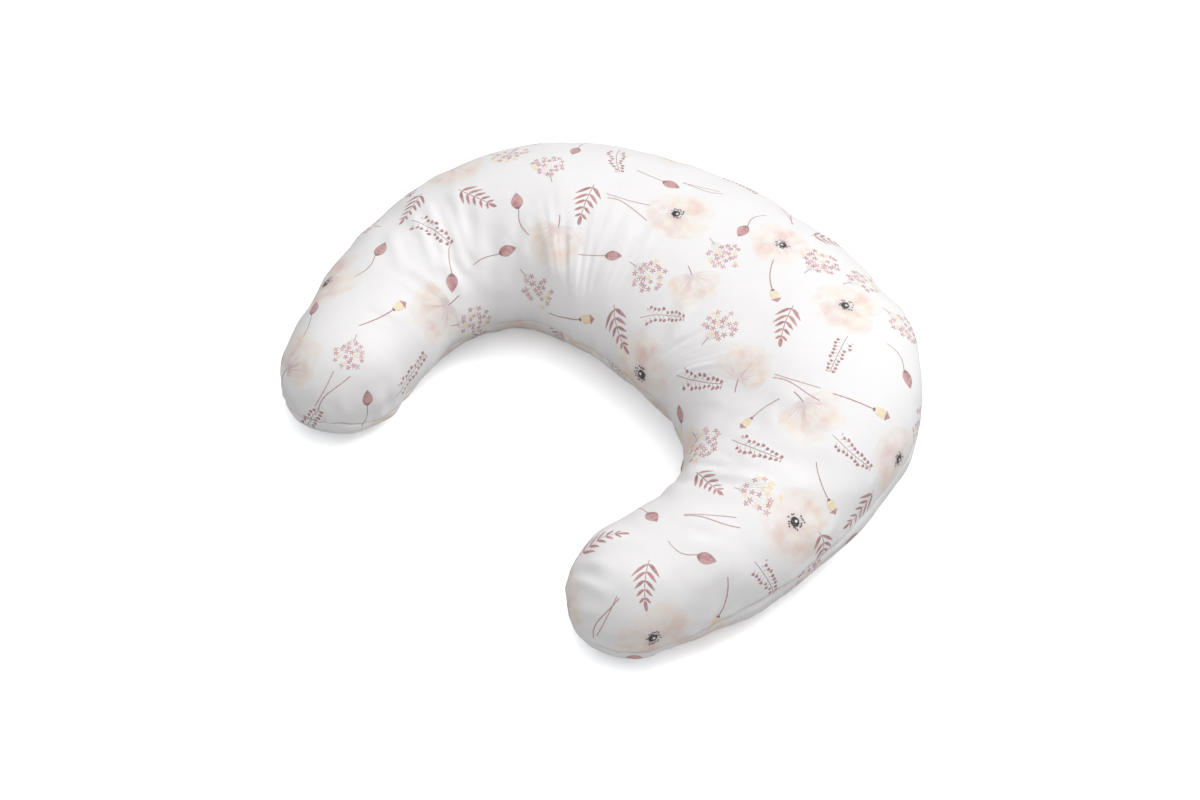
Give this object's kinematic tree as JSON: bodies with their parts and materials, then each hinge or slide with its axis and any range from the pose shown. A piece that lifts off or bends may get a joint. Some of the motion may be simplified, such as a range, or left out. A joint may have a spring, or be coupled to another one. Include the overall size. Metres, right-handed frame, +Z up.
{
  "type": "nursing pillow",
  "caption": "Crescent-shaped nursing pillow: fibre-filled insert in a removable printed cotton cover closed by a zip along the back seam.",
  "frame": {"origin": "on the floor under the centre of the bounding box", "axes": "+Z up, +Y towards the back of the crescent, the opening between the horns faces -Y, the horns lie to -X and +X"},
  "size_m": [0.6298, 0.5124, 0.1486],
  "materials": {
    "cover_fabric": "printed cotton sateen, soft sheen",
    "insert_casing": "plain nonwoven",
    "fibre": "loose polyester fibre, matte",
    "thread": "polyester sewing thread",
    "zip_tape": "woven polyester tape",
    "zip_coil": "moulded polyester coil",
    "zip_metal": "crimped, satin",
    "zip_slider_paint": "pale enamel on die-cast zinc",
    "label_satin": "blank satin ribbon"
  },
  "bodies": {
    "pillow": {"cover_top_panel": "cover_fabric", "cover_bottom_panel": "cover_fabric", "cover_seam_thread": "thread", "insert_top_panel": "insert_casing", "insert_bottom_panel": "insert_casing", "insert_seam_thread": "thread", "insert_closing_stitch": "thread", "fibre_fill": "fibre", "zip_tape_upper": "zip_tape", "zip_tape_lower": "zip_tape", "zip_coil_upper": "zip_coil", "zip_coil_lower": "zip_coil", "zip_stitch_upper": "thread", "zip_stitch_lower": "thread", "zip_top_stop_upper": "zip_metal", "zip_top_stop_lower": "zip_metal", "zip_bottom_stop": "zip_metal", "zip_bartack_left": "thread", "zip_bartack_right": "thread", "care_label": "label_satin"},
    "zip_slider": {"zip_slider_body": "zip_slider_paint"},
    "zip_pull": {"zip_pull_tab": "zip_slider_paint"}
  },
  "joints": [
    {"name": "zip_slider_travel", "type": "hinge", "parent": "pillow", "child": "zip_slider", "pos_m": [0, -0.08832, 0.07038], "axis": [0, 0, 1], "range_deg": [0, 37.6]},
    {"name": "zip_pull_swing", "type": "hinge", "parent": "zip_slider", "child": "zip_pull", "pos_m": [0.11191, 0.24041, 0.07038], "axis": [0, 0, 1], "range_deg": [0, 180]}
  ]
}
